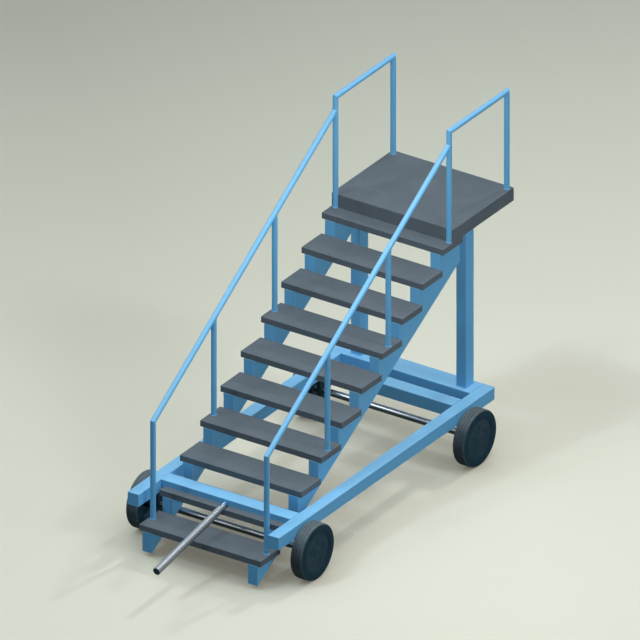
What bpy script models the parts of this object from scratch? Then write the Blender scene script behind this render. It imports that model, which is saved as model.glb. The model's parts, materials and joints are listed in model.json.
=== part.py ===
# Mobile aircraft stairs: a ten-tread flight and a platform on a towed four-wheel chassis.
# Metres. +Y runs up the flight, +Z up, X across. The flight's own frame has its zero on the floor
# under the front edge of the first tread, in the middle of the width.

import math

import bmesh
import bpy
from mathutils import Matrix, Vector

# Driving dimensions of the flight and platform
TREAD_COUNT = 10
TREAD_WIDTH = 1.250
TREAD_DEPTH = 0.308
TREAD_THICKNESS = 0.057
GOING = 0.314
RISE = 0.198
FOOT_CLEARANCE = 0.043
PLATFORM_DEPTH = 0.943
PLATFORM_THICKNESS = 0.1265

# Plate and pan sizes of the treads and the platform
TREAD_SHEET = 0.005
DECK_SHEET = 0.008
PAN_RIB = 0.010
DECK_BEAM = 0.060

# Sawtooth stringers
STRINGER_THICKNESS = 0.100
STRINGER_OVERHANG = 0.032
STRINGER_NECK = 0.0126
STRINGER_END_DEPTH = 0.194

# Chassis rails, cross members and the rear support posts
RAIL_WIDTH = 0.114
RAIL_HEIGHT = 0.1235
RAIL_TREAD_GAP = 0.040
RAIL_FRONT_SETBACK = 0.049
RAIL_REAR_OVERHANG = 0.415
CROSS_WIDTH = 0.140
REAR_BEAM_WIDTH = 0.212
SADDLE_DEPTH = 0.0125
FRONT_STRIP_DEPTH = 0.082
SUPPORT_WIDTH = 0.104
SUPPORT_DEPTH = 0.122
SECTION_WALL = 0.006
SECTION_CORNER = 0.006

# Axles, hangers, wheels and tyres
WHEEL_RADIUS = 0.258
WHEEL_WIDTH = 0.120
WHEEL_RAIL_GAP = 0.007
AXLE_RADIUS = 0.032
STUB_RADIUS = 0.025
STUB_CLEARANCE = 0.0005
THRUST_GAP = 0.001
HANGER_THICKNESS = 0.040
HANGER_BOSS_RADIUS = 0.056
HANGER_FLANGE = 0.012
HANGER_FLANGE_WIDTH = 0.096
RIM_RADIUS = 0.172
RIM_WALL = 0.010
RIM_RECESS = 0.006
DISC_THICKNESS = 0.014
HUB_RADIUS = 0.062
HUB_CAP_RADIUS = 0.046
HUB_CAP_PROUD = 0.004
SHOULDER_RADIUS = 0.016
BEAD_CHAMFER = 0.006

# Handrails
TUBE_RADIUS = 0.025
TUBE_WALL = 0.003
POST_INSET = 0.040
HANDRAIL_RISE = 0.940
PLATFORM_RAIL_RISE = 0.940
REAR_POST_SETBACK = 0.050
POST_TREADS = (1, 4, 7)

# Tow bar and its knuckle
TOW_BAR_RADIUS = 0.035
TOW_BAR_LENGTH = 1.043
TOW_BAR_DROP = math.radians(10)
TOW_PIN_RADIUS = 0.010
TOW_PIN_LENGTH = 0.062
TOW_PIN_CLEARANCE = 0.0005
TOW_PIN_HEIGHT = 0.070
TOW_HEEL_CLEARANCE = 0.006
LUG_THICKNESS = 0.020
LUG_EYE_RADIUS = 0.024
FORK_SIDE_CLEARANCE = 0.0015
FORK_END_CLEARANCE = 0.012
SADDLE_SIDE_CLEARANCE = 0.005
SADDLE_BLOCK_WALL = 0.015

# Fits and cuts
SEAT_GAP = 0.0003
COPE_GAP = 0.0008
CUT_OVERRUN = 0.020

# Facets of the round pieces
WHEEL_SIDES = 48
TUBE_SIDES = 24
BAR_SIDES = 32
CORNER_SIDES = 2
SHOULDER_SIDES = 3

SMOOTH_ANGLE = math.radians(35)

# Paint and metal: linear colour, roughness, metallic
BLUE_PAINT = ((0.170, 0.500, 0.830, 1.0), 0.55, 0.0)
SLATE_PAINT = ((0.122, 0.154, 0.180, 1.0), 0.70, 0.0)
BRIGHT_STEEL = ((0.280, 0.300, 0.330, 1.0), 0.32, 1.0)
DARK_CASTING = ((0.012, 0.030, 0.042, 1.0), 0.60, 0.0)
TYRE_RUBBER = ((0.014, 0.028, 0.036, 1.0), 0.85, 0.0)

# Places that follow from the sizes
HALF_TREAD = TREAD_WIDTH / 2
STRINGER_OUT = HALF_TREAD - STRINGER_OVERHANG
STRINGER_IN = STRINGER_OUT - STRINGER_THICKNESS
STRINGER_MID = (STRINGER_OUT + STRINGER_IN) / 2
FLIGHT_BACK = (TREAD_COUNT - 1) * GOING + TREAD_DEPTH
STRINGER_SLOPE = (
    (TREAD_COUNT - 1) * RISE - STRINGER_END_DEPTH + STRINGER_NECK
) / (FLIGHT_BACK - GOING)
FIRST_TREAD_BOTTOM = FOOT_CLEARANCE + STRINGER_SLOPE * GOING + STRINGER_NECK

RAIL_IN = HALF_TREAD + RAIL_TREAD_GAP
RAIL_OUT = RAIL_IN + RAIL_WIDTH
RAIL_MID = (RAIL_IN + RAIL_OUT) / 2
RAIL_BOTTOM = FIRST_TREAD_BOTTOM + RISE - SADDLE_DEPTH
RAIL_TOP = RAIL_BOTTOM + RAIL_HEIGHT

POST_X = HALF_TREAD - POST_INSET
POST_SETBACK = TREAD_DEPTH / 2
PLATFORM_FRONT = (TREAD_COUNT - 1) * GOING + POST_SETBACK
PLATFORM_BACK = PLATFORM_FRONT + PLATFORM_DEPTH
PLATFORM_BOTTOM = FIRST_TREAD_BOTTOM + (TREAD_COUNT - 1) * RISE + TREAD_THICKNESS
PLATFORM_TOP = PLATFORM_BOTTOM + PLATFORM_THICKNESS
REAR_POST_Y = PLATFORM_BACK - REAR_POST_SETBACK

FRONT_BEAM_Y = GOING + FRONT_STRIP_DEPTH
FRONT_AXLE_Y = FRONT_BEAM_Y + CROSS_WIDTH / 2
REAR_AXLE_Y = PLATFORM_FRONT
RAIL_BACK = REAR_AXLE_Y + RAIL_REAR_OVERHANG
REAR_BEAM_Y = RAIL_BACK - REAR_BEAM_WIDTH
SUPPORT_Y = (REAR_BEAM_Y + RAIL_BACK) / 2

WHEEL_IN = RAIL_OUT + WHEEL_RAIL_GAP
WHEEL_OUT = WHEEL_IN + WHEEL_WIDTH

TOW_PIN_Y = FRONT_BEAM_Y - TOW_HEEL_CLEARANCE - TOW_BAR_RADIUS
TOW_PIN_Z = RAIL_BOTTOM + TOW_PIN_HEIGHT
TOW_TIP_Y = (
    TOW_PIN_Y - TOW_BAR_LENGTH * math.cos(TOW_BAR_DROP) - TOW_BAR_RADIUS * math.sin(TOW_BAR_DROP)
)

# The part's origin is on the floor under the middle of the whole length
DATUM_Y = -(TOW_TIP_Y + PLATFORM_BACK) / 2

SIDES = (("left", -1), ("right", 1))


def tread_bottom(number):
    return FIRST_TREAD_BOTTOM + (number - 1) * RISE


def tread_top(number):
    return tread_bottom(number) + TREAD_THICKNESS


def rail_height(y):
    """Centre height of the inclined handrail at y."""
    return tread_top(1) + HANDRAIL_RISE + (y - POST_SETBACK) * RISE / GOING


def clear_scene():
    for old in list(bpy.data.objects):
        bpy.data.objects.remove(old, do_unlink=True)


def add_datum():
    datum = bpy.data.objects.new("datum", None)
    datum.location = (0, DATUM_Y, 0)
    bpy.context.scene.collection.objects.link(datum)
    return datum


def add_object(name, bm, finish, location=(0, 0, 0), smooth=False):
    """Link a bmesh as a named object of the stairs, with its own material."""
    bmesh.ops.recalc_face_normals(bm, faces=bm.faces)
    mesh = bpy.data.meshes.new(name)
    bm.to_mesh(mesh)
    bm.free()
    obj = bpy.data.objects.new(name, mesh)
    obj.location = location
    obj.parent = bpy.data.objects["datum"]
    bpy.context.scene.collection.objects.link(obj)
    if finish:
        colour, roughness, metallic = finish
        material = bpy.data.materials.new(name)
        material.use_nodes = True
        shader = material.node_tree.nodes["Principled BSDF"]
        shader.inputs["Base Color"].default_value = colour
        shader.inputs["Roughness"].default_value = roughness
        shader.inputs["Metallic"].default_value = metallic
        mesh.materials.append(material)
    if smooth:
        mesh.shade_smooth()
        mesh.set_sharp_from_angle(angle=SMOOTH_ANGLE)
    return obj


def add_cutter(name, bm, location=(0, 0, 0)):
    cutter = add_object(name, bm, None, location)
    cutter.hide_render = True
    cutter.display_type = "WIRE"
    return cutter


def combine(obj, tool, operation):
    modifier = obj.modifiers.new(tool.name, "BOOLEAN")
    modifier.operation = operation
    modifier.solver = "EXACT"
    modifier.object = tool


def block(bm, low, high):
    """Add a box between two corners."""
    size = [b - a for a, b in zip(low, high)]
    made = bmesh.ops.create_cube(bm, size=1)
    bmesh.ops.scale(bm, vec=size, verts=made["verts"])
    middle = [(a + b) / 2 for a, b in zip(low, high)]
    bmesh.ops.translate(bm, vec=middle, verts=made["verts"])


def arc(centre, radius, start, end, sides):
    """Points of an arc in a plane, angles in degrees."""
    points = []
    for step in range(sides + 1):
        angle = math.radians(start + (end - start) * step / sides)
        points.append((centre[0] + radius * math.cos(angle), centre[1] + radius * math.sin(angle)))
    return points


def rounded_rectangle(width, height, radius):
    """Outline of a rolled section, counter-clockwise round the origin."""
    points = []
    corners = ((1, 1, 0), (-1, 1, 90), (-1, -1, 180), (1, -1, 270))
    for side_x, side_y, start in corners:
        centre = (side_x * (width / 2 - radius), side_y * (height / 2 - radius))
        points += arc(centre, radius, start, start + 90, CORNER_SIDES)
    return points


def prism(outline, start, end, place, inner=None):
    """Extrude an outline between two stations; place(u, v, station) gives the point in space."""
    bm = bmesh.new()
    rings = []
    for station in (start, end):
        ring = [bm.verts.new(place(u, v, station)) for u, v in outline]
        hole = [bm.verts.new(place(u, v, station)) for u, v in inner] if inner else []
        rings.append((ring, hole))
    count = len(outline)
    for i in range(count):
        j = (i + 1) % count
        for part in range(2 if inner else 1):
            near, far = rings[0][part], rings[1][part]
            bm.faces.new((near[i], near[j], far[j], far[i]))
        if inner:
            for ring, hole in rings:
                bm.faces.new((ring[i], ring[j], hole[j], hole[i]))
    if not inner:
        for ring, _ in rings:
            bm.faces.new(ring)
    return bm


def across(u, v, station):
    """Outline in Y and Z, extruded along X."""
    return Vector((station, u, v))


def along(u, v, station):
    """Outline in X and Z, extruded along Y."""
    return Vector((u, station, v))


def upright(u, v, station):
    """Outline in X and Y, extruded along Z."""
    return Vector((u, v, station))


def plane_cut(point, normal):
    """End of a tube wall on a plane."""
    def distance(start, direction):
        return (point - start).dot(normal) / direction.dot(normal)
    return distance


def pipe_cut(point, axis, radius):
    """End of a tube wall where it first meets another round tube."""
    def distance(start, direction):
        offset = start - point
        a = direction - axis * direction.dot(axis)
        b = offset - axis * offset.dot(axis)
        root = (a.dot(b)) ** 2 - a.length_squared * (b.length_squared - radius ** 2)
        return (-a.dot(b) - math.sqrt(root)) / a.length_squared
    return distance


def mitre(corner, arm, other):
    """Plane of a mitred corner for the tube that leaves the corner along arm."""
    normal = (arm - other).normalized()
    return plane_cut(corner + normal * SEAT_GAP / 2, normal)


def tube(name, start, direction, cut_start, cut_end):
    """A round handrail tube whose two ends are cut to what they meet."""
    side = Vector((1, 0, 0))
    up = direction.cross(side)
    bm = bmesh.new()
    loops = []
    for radius in (TUBE_RADIUS, TUBE_RADIUS - TUBE_WALL):
        for cut in (cut_start, cut_end):
            loop = []
            for step in range(TUBE_SIDES):
                angle = 2 * math.pi * step / TUBE_SIDES
                wall = start + radius * (side * math.cos(angle) + up * math.sin(angle))
                loop.append(bm.verts.new(wall + direction * cut(wall, direction)))
            loops.append(loop)
    outer_start, outer_end, inner_start, inner_end = loops
    pairs = (
        (outer_start, outer_end), (inner_start, inner_end),
        (outer_start, inner_start), (outer_end, inner_end),
    )
    for one, two in pairs:
        for i in range(TUBE_SIDES):
            j = (i + 1) % TUBE_SIDES
            bm.faces.new((one[i], one[j], two[j], two[i]))
    return add_object(name, bm, BLUE_PAINT, smooth=True)


def lathe(profile, sides, closed):
    """Turn (x, radius) points about the X axis, with a flat facet at the bottom."""
    bm = bmesh.new()
    rings = []
    for x, radius in profile:
        if radius == 0:
            rings.append([bm.verts.new((x, 0, 0))] * sides)
            continue
        ring = []
        for step in range(sides):
            angle = 2 * math.pi * (step + 0.5) / sides
            ring.append(bm.verts.new((x, radius * math.sin(angle), radius * math.cos(angle))))
        rings.append(ring)
    spans = list(zip(rings, rings[1:]))
    if closed:
        spans.append((rings[-1], rings[0]))
    for one, two in spans:
        for i in range(sides):
            j = (i + 1) % sides
            corners = [one[i], one[j], two[j], two[i]]
            bm.faces.new(list(dict.fromkeys(corners)))
    return bm


def rod(radius, start, end, sides):
    """A plain round bar along X."""
    return lathe(((start, 0), (start, radius), (end, radius), (end, 0)), sides, closed=False)


def build_chassis():
    section = rounded_rectangle(RAIL_WIDTH, RAIL_HEIGHT, SECTION_CORNER)
    middle_z = (RAIL_TOP + RAIL_BOTTOM) / 2
    for side, sign in SIDES:
        bm = prism(section, RAIL_FRONT_SETBACK, RAIL_BACK, along)
        add_object(f"side_rail_{side}", bm, BLUE_PAINT, (sign * RAIL_MID, 0, middle_z), smooth=True)

    beams = (
        # name, middle y, width
        ("front_cross_member", FRONT_AXLE_Y, CROSS_WIDTH),
        ("rear_cross_member", REAR_AXLE_Y, CROSS_WIDTH),
        ("rear_beam", SUPPORT_Y, REAR_BEAM_WIDTH),
    )
    half = RAIL_IN - SEAT_GAP
    for name, y, width in beams:
        outline = rounded_rectangle(width, RAIL_HEIGHT, SECTION_CORNER)
        bore = rounded_rectangle(
            width - 2 * SECTION_WALL, RAIL_HEIGHT - 2 * SECTION_WALL, SECTION_CORNER / 2
        )
        bm = prism(outline, -half, half, across, inner=bore)
        add_object(name, bm, BLUE_PAINT, (0, y, middle_z), smooth=True)

    outline = rounded_rectangle(SUPPORT_WIDTH, SUPPORT_DEPTH, SECTION_CORNER)
    bore = rounded_rectangle(
        SUPPORT_WIDTH - 2 * SECTION_WALL, SUPPORT_DEPTH - 2 * SECTION_WALL, SECTION_CORNER / 2
    )
    for side, sign in SIDES:
        bm = prism(outline, RAIL_TOP + SEAT_GAP, PLATFORM_BOTTOM, upright, inner=bore)
        place = (sign * STRINGER_MID, SUPPORT_Y, 0)
        add_object(f"support_post_{side}", bm, BLUE_PAINT, place, smooth=True)


def stringer_outline():
    """Sawtooth top under the treads, and one straight lower edge."""
    back_bottom = tread_bottom(TREAD_COUNT) - STRINGER_END_DEPTH
    points = [(0, FOOT_CLEARANCE)]
    for number in range(1, TREAD_COUNT + 1):
        front = (number - 1) * GOING
        top = tread_bottom(number) - SEAT_GAP
        points.append((front, top))
        points.append((min(front + GOING, FLIGHT_BACK), top))
    points.append((FLIGHT_BACK, back_bottom))
    return points


def build_stringers():
    saddle = bmesh.new()
    block(
        saddle,
        (-RAIL_IN, FRONT_BEAM_Y - SEAT_GAP, RAIL_BOTTOM - SEAT_GAP),
        (RAIL_IN, FRONT_BEAM_Y + CROSS_WIDTH + SEAT_GAP, RAIL_TOP),
    )
    cutter = add_cutter("saddle_cut", saddle)
    for side, sign in SIDES:
        inner, outer = sorted((sign * STRINGER_IN, sign * STRINGER_OUT))
        obj = add_object(f"stringer_{side}", prism(stringer_outline(), inner, outer, across), BLUE_PAINT)
        combine(obj, cutter, "DIFFERENCE")


def pan(name, low, high, sheet, x_ribs, y_ribs, finish):
    """A slab with pockets sunk from below between ribs; each rib list holds (middle, width)."""
    body = bmesh.new()
    block(body, low, high)
    obj = add_object(name, body, finish)
    pockets = bmesh.new()
    spans = []
    for ribs in (x_ribs, y_ribs):
        edges = [(middle - width / 2, middle + width / 2) for middle, width in ribs]
        spans.append([(one[1], two[0]) for one, two in zip(edges, edges[1:])])
    for x_low, x_high in spans[0]:
        for y_low, y_high in spans[1]:
            block(
                pockets,
                (x_low, y_low, low[2] - CUT_OVERRUN),
                (x_high, y_high, high[2] - sheet),
            )
    combine(obj, add_cutter(name + "_pockets", pockets), "DIFFERENCE")
    return obj


def tread_ribs(middle_width):
    """Solid bearings over the two stringers, and a rib between them."""
    return (
        (-STRINGER_MID, STRINGER_THICKNESS + 2 * PAN_RIB),
        (0, middle_width),
        (STRINGER_MID, STRINGER_THICKNESS + 2 * PAN_RIB),
    )


def build_tread(name, number, front, back, middle_width):
    low = (-HALF_TREAD, front, tread_bottom(number))
    high = (HALF_TREAD, back, tread_top(number))
    y_ribs = ((front, 2 * TREAD_SHEET), (back, 2 * TREAD_SHEET))
    return pan(name, low, high, TREAD_SHEET, tread_ribs(middle_width), y_ribs, SLATE_PAINT)


def bar_saddle_cutter():
    """Round-bottomed slot that the lowered tow bar lies in, open at the top."""
    radius = TOW_BAR_RADIUS + SADDLE_SIDE_CLEARANCE
    lift = SADDLE_SIDE_CLEARANCE - SEAT_GAP
    # An odd count of facets leaves a flat one at the bottom, as on the bar
    outline = arc((0, lift), radius, 180, 360, BAR_SIDES // 2 - 1)
    top = TREAD_THICKNESS + CUT_OVERRUN
    outline += [(radius, top), (-radius, top)]
    reach = FRONT_STRIP_DEPTH + CUT_OVERRUN
    bm = prism(outline, -reach, reach, along)
    cutter = add_cutter("bar_saddle_cut", bm, (0, TOW_PIN_Y, TOW_PIN_Z))
    cutter.rotation_euler.x = TOW_BAR_DROP
    return cutter


def build_treads():
    for number in range(1, TREAD_COUNT + 1):
        front = (number - 1) * GOING
        back = front + TREAD_DEPTH
        if number == 2:
            block_width = 2 * (TOW_BAR_RADIUS + SADDLE_SIDE_CLEARANCE + SADDLE_BLOCK_WALL)
            strip = build_tread("tread_02_front", 2, front, FRONT_BEAM_Y - SEAT_GAP, block_width)
            combine(strip, bar_saddle_cutter(), "DIFFERENCE")
            rear = FRONT_BEAM_Y + CROSS_WIDTH + SEAT_GAP
            build_tread("tread_02_rear", 2, rear, back, PAN_RIB)
        else:
            build_tread(f"tread_{number:02d}", number, front, back, PAN_RIB)


def build_platform():
    low = (-HALF_TREAD, PLATFORM_FRONT, PLATFORM_BOTTOM + SEAT_GAP)
    high = (HALF_TREAD, PLATFORM_BACK, PLATFORM_TOP)
    x_ribs = (
        (-STRINGER_MID, STRINGER_THICKNESS + 2 * PAN_RIB),
        (0, DECK_BEAM),
        (STRINGER_MID, STRINGER_THICKNESS + 2 * PAN_RIB),
    )
    rest = FLIGHT_BACK - PLATFORM_FRONT
    y_ribs = (
        (PLATFORM_FRONT + rest / 2, rest),
        (SUPPORT_Y, SUPPORT_DEPTH),
        ((SUPPORT_Y + PLATFORM_BACK) / 2, DECK_BEAM),
        (PLATFORM_BACK, 2 * DECK_SHEET),
    )
    deck = pan("platform", low, high, DECK_SHEET, x_ribs, y_ribs, SLATE_PAINT)
    for side, sign in SIDES:
        bm = prism(
            arc((0, 0), TUBE_RADIUS + SEAT_GAP, 0, 360 - 360 / TUBE_SIDES, TUBE_SIDES - 1),
            PLATFORM_BOTTOM - CUT_OVERRUN, PLATFORM_TOP + CUT_OVERRUN, upright,
        )
        cutter = add_cutter(f"post_notch_{side}", bm, (sign * POST_X, PLATFORM_FRONT, 0))
        combine(deck, cutter, "DIFFERENCE")


def build_handrails():
    down = Vector((0, 0, -1))
    up = Vector((0, 0, 1))
    back = Vector((0, 1, 0))
    incline = Vector((0, GOING, RISE)).normalized()
    top_z = PLATFORM_TOP + PLATFORM_RAIL_RISE
    coped = TUBE_RADIUS + COPE_GAP
    for side, sign in SIDES:
        x = sign * POST_X
        bend = Vector((x, POST_SETBACK, rail_height(POST_SETBACK)))
        tall_foot = Vector((x, PLATFORM_FRONT, PLATFORM_BOTTOM + SEAT_GAP))
        tall_top = Vector((x, PLATFORM_FRONT, top_z))
        rear_foot = Vector((x, REAR_POST_Y, PLATFORM_TOP + SEAT_GAP))
        rear_top = Vector((x, REAR_POST_Y, top_z))
        for number in POST_TREADS:
            y = (number - 1) * GOING + POST_SETBACK
            foot = Vector((x, y, tread_top(number) + SEAT_GAP))
            if number == POST_TREADS[0]:
                end = mitre(bend, down, incline)
            else:
                end = pipe_cut(bend, incline, coped)
            tube(f"post_tread_{number:02d}_{side}", foot, up, plane_cut(foot, up), end)
        tube(
            f"inclined_rail_{side}", bend, incline,
            mitre(bend, incline, down), pipe_cut(tall_foot, up, coped),
        )
        tube(
            f"post_platform_front_{side}", tall_foot, up,
            plane_cut(tall_foot, up), mitre(tall_top, down, back),
        )
        tube(
            f"platform_rail_{side}", tall_top, back,
            mitre(tall_top, back, down), mitre(rear_top, -back, down),
        )
        tube(
            f"post_platform_rear_{side}", rear_foot, up,
            plane_cut(rear_foot, up), mitre(rear_top, down, -back),
        )


def build_axle(name, y):
    shoulder = WHEEL_IN - THRUST_GAP
    stub_end = WHEEL_OUT - RIM_RECESS - DISC_THICKNESS - THRUST_GAP
    profile = (
        (-stub_end, 0), (-stub_end, STUB_RADIUS), (-shoulder, STUB_RADIUS),
        (-shoulder, AXLE_RADIUS), (shoulder, AXLE_RADIUS),
        (shoulder, STUB_RADIUS), (stub_end, STUB_RADIUS), (stub_end, 0),
    )
    bm = lathe(profile, TUBE_SIDES, closed=False)
    add_object(name, bm, BRIGHT_STEEL, (0, y, WHEEL_RADIUS), smooth=True)


def build_hanger(name, x, y):
    """Tapered bracket under a rail with a round boss that holds the axle."""
    top = RAIL_BOTTOM - SEAT_GAP - WHEEL_RADIUS
    half = CROSS_WIDTH / 2
    outline = [(half, top), (-half, top), (-half, top - HANGER_FLANGE)]
    outline += arc((0, 0), HANGER_BOSS_RADIUS, 180, 360, BAR_SIDES // 2)
    outline += [(half, top - HANGER_FLANGE)]
    bm = prism(outline, -HANGER_THICKNESS / 2, HANGER_THICKNESS / 2, across)
    obj = add_object(name, bm, DARK_CASTING, (x, y, WHEEL_RADIUS), smooth=True)
    foot = bmesh.new()
    block(
        foot,
        (-HANGER_FLANGE_WIDTH / 2, -half, top - HANGER_FLANGE),
        (HANGER_FLANGE_WIDTH / 2, half, top),
    )
    combine(obj, add_cutter(name + "_flange", foot, (x, y, WHEEL_RADIUS)), "UNION")
    reach = HANGER_THICKNESS / 2 + CUT_OVERRUN
    bore = rod(AXLE_RADIUS + SEAT_GAP, -reach, reach, TUBE_SIDES)
    combine(obj, add_cutter(name + "_bore", bore, (x, y, WHEEL_RADIUS)), "DIFFERENCE")


def wheel_profile():
    """Rim, closed outer disc and hub with a blind bore; x counts from the wheel's inner face."""
    face = WHEEL_WIDTH - RIM_RECESS
    disc = face - DISC_THICKNESS
    bore = STUB_RADIUS + STUB_CLEARANCE
    return (
        (face + HUB_CAP_PROUD, 0),
        (face + HUB_CAP_PROUD, HUB_CAP_RADIUS - HUB_CAP_PROUD),
        (face, HUB_CAP_RADIUS),
        (face, RIM_RADIUS),
        (RIM_RECESS, RIM_RADIUS),
        (RIM_RECESS, RIM_RADIUS - RIM_WALL),
        (disc, RIM_RADIUS - RIM_WALL),
        (disc, HUB_RADIUS),
        (0, HUB_RADIUS),
        (0, bore),
        (disc, bore),
        (disc, 0),
    )


def tyre_profile():
    """Solid tyre section: flat tread, round shoulders, flat walls and chamfered beads."""
    seat = RIM_RADIUS + SEAT_GAP
    outer = WHEEL_RADIUS / math.cos(math.pi / WHEEL_SIDES)
    shoulder = SHOULDER_RADIUS
    points = [
        (BEAD_CHAMFER, seat), (0, seat + BEAD_CHAMFER),
    ]
    points += arc((shoulder, outer - shoulder), shoulder, 180, 90, SHOULDER_SIDES)
    points += arc((WHEEL_WIDTH - shoulder, outer - shoulder), shoulder, 90, 0, SHOULDER_SIDES)
    points += [
        (WHEEL_WIDTH, seat + BEAD_CHAMFER), (WHEEL_WIDTH - BEAD_CHAMFER, seat),
    ]
    return points


def build_running_gear():
    for end, y in (("front", FRONT_AXLE_Y), ("rear", REAR_AXLE_Y)):
        build_axle(f"axle_{end}", y)
        for side, sign in SIDES:
            build_hanger(f"axle_hanger_{end}_{side}", sign * RAIL_MID, y)
            place = (sign * WHEEL_IN, y, WHEEL_RADIUS)
            wheel = [(sign * x, radius) for x, radius in wheel_profile()]
            bm = lathe(wheel, WHEEL_SIDES, closed=False)
            add_object(f"wheel_{end}_{side}", bm, DARK_CASTING, place, smooth=True)
            tyre = [(sign * x, radius) for x, radius in tyre_profile()]
            bm = lathe(tyre, WHEEL_SIDES, closed=True)
            add_object(f"tyre_{end}_{side}", bm, TYRE_RUBBER, place, smooth=True)


def build_tow_lug():
    """Eye plate on the front cross member that enters the fork of the bar."""
    root = FRONT_BEAM_Y - SEAT_GAP - TOW_PIN_Y
    outline = [(root, -LUG_EYE_RADIUS), (root, LUG_EYE_RADIUS)]
    outline += arc((0, 0), LUG_EYE_RADIUS, 90, 270, BAR_SIDES // 2)
    bm = prism(outline, -LUG_THICKNESS / 2, LUG_THICKNESS / 2, across)
    place = (0, TOW_PIN_Y, TOW_PIN_Z)
    lug = add_object("tow_lug", bm, BLUE_PAINT, place, smooth=True)
    hole = rod(TOW_PIN_RADIUS + SEAT_GAP, -LUG_THICKNESS, LUG_THICKNESS, TUBE_SIDES)
    combine(lug, add_cutter("lug_hole", hole, place), "DIFFERENCE")
    pin = rod(TOW_PIN_RADIUS, -TOW_PIN_LENGTH / 2, TOW_PIN_LENGTH / 2, TUBE_SIDES)
    add_object("tow_pin", pin, BRIGHT_STEEL, place, smooth=True)


def build_tow_bar():
    """Round bar with a ball-shaped heel about the pin, a fork slot and a pin hole."""
    profile = [(-TOW_BAR_LENGTH, 0), (-TOW_BAR_LENGTH, TOW_BAR_RADIUS)]
    profile += arc((0, 0), TOW_BAR_RADIUS, 90, 0, BAR_SIDES // 4)
    bm = lathe(profile, BAR_SIDES, closed=False)
    bmesh.ops.rotate(bm, verts=bm.verts, matrix=Matrix.Rotation(math.radians(90), 3, "Z"))
    place = (0, TOW_PIN_Y, TOW_PIN_Z)
    bar = add_object("tow_bar", bm, BRIGHT_STEEL, place, smooth=True)
    bar.rotation_euler.x = TOW_BAR_DROP

    slot = bmesh.new()
    half = LUG_THICKNESS / 2 + FORK_SIDE_CLEARANCE
    end = LUG_EYE_RADIUS + FORK_END_CLEARANCE
    reach = TOW_BAR_RADIUS + CUT_OVERRUN
    block(slot, (-half, -end, -reach), (half, reach, reach))
    hole = rod(TOW_PIN_RADIUS + TOW_PIN_CLEARANCE, -reach, reach, TUBE_SIDES)
    for name, tool in (("fork_slot", slot), ("bar_hole", hole)):
        cutter = add_cutter(name, tool, place)
        cutter.rotation_euler.x = TOW_BAR_DROP
        combine(bar, cutter, "DIFFERENCE")


def build_stairs():
    clear_scene()
    add_datum()
    build_chassis()
    build_stringers()
    build_treads()
    build_platform()
    build_handrails()
    build_running_gear()
    build_tow_lug()
    build_tow_bar()


build_stairs()
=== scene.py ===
# %% [markdown]
# Mobile aircraft stairs, dressed for a picture
#
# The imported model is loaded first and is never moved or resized: it says where every piece is and
# how large. This script gives each piece its finish. It rounds the edges that a press or a
# grinder would round, turns real tyres, adds the fasteners and weld beads, and builds the paint,
# the grit, the steel and the rubber from shader nodes. Each step is explained before its code.
# Lengths are in metres.

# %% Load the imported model
import json
import math
from collections import namedtuple

import bmesh
import bpy
from mathutils import Matrix, Vector

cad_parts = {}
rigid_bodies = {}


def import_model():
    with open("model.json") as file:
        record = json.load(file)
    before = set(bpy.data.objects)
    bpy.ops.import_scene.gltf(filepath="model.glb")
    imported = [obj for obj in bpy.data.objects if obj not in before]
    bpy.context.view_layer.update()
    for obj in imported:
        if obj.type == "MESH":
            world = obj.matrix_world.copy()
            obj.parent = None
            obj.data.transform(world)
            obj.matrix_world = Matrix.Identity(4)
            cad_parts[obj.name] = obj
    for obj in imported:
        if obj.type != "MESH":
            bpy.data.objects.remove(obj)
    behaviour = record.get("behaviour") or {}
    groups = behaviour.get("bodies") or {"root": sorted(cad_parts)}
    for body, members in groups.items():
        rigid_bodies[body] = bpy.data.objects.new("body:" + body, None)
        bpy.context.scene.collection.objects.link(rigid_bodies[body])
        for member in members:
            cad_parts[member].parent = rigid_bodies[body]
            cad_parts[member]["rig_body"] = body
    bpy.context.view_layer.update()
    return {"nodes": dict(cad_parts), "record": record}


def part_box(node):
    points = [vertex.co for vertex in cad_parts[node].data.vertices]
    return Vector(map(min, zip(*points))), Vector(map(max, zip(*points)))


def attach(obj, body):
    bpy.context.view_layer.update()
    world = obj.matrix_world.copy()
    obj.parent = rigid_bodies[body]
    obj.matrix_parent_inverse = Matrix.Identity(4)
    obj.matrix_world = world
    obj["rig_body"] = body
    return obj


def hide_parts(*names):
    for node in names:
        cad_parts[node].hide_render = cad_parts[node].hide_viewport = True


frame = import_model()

# %% [markdown]
# The camera
#
# The picture has no vanishing points: lines that are parallel on the machine stay parallel in it.
# So the camera is orthographic. Its direction, and how many pixels a metre takes, come from the
# picture, and one landmark ties the two together: the floor point under the middle of the first
# tread's front edge.

# %% Camera
PICTURE_SIDE = 640
PIXELS_PER_METRE = 116.62
VIEW_AZIMUTH = math.radians(33.62)
VIEW_ELEVATION = math.radians(27.76)
LANDMARK_PIXEL = Vector((199.9, 573.0))
CAMERA_DISTANCE = 14
CAMERA_REACH = 100

view_right = Vector((math.cos(VIEW_AZIMUTH), math.sin(VIEW_AZIMUTH), 0))
view_back = Vector((
    math.sin(VIEW_AZIMUTH) * math.cos(VIEW_ELEVATION),
    -math.cos(VIEW_AZIMUTH) * math.cos(VIEW_ELEVATION),
    math.sin(VIEW_ELEVATION),
))
view_up = view_back.cross(view_right)
landmark = Vector((0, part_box("tread_01")[0].y, 0))
picture_middle = Vector((PICTURE_SIDE / 2, PICTURE_SIDE / 2))
offset = (picture_middle - LANDMARK_PIXEL) / PIXELS_PER_METRE
target = landmark + view_right * offset.x - view_up * offset.y

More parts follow.
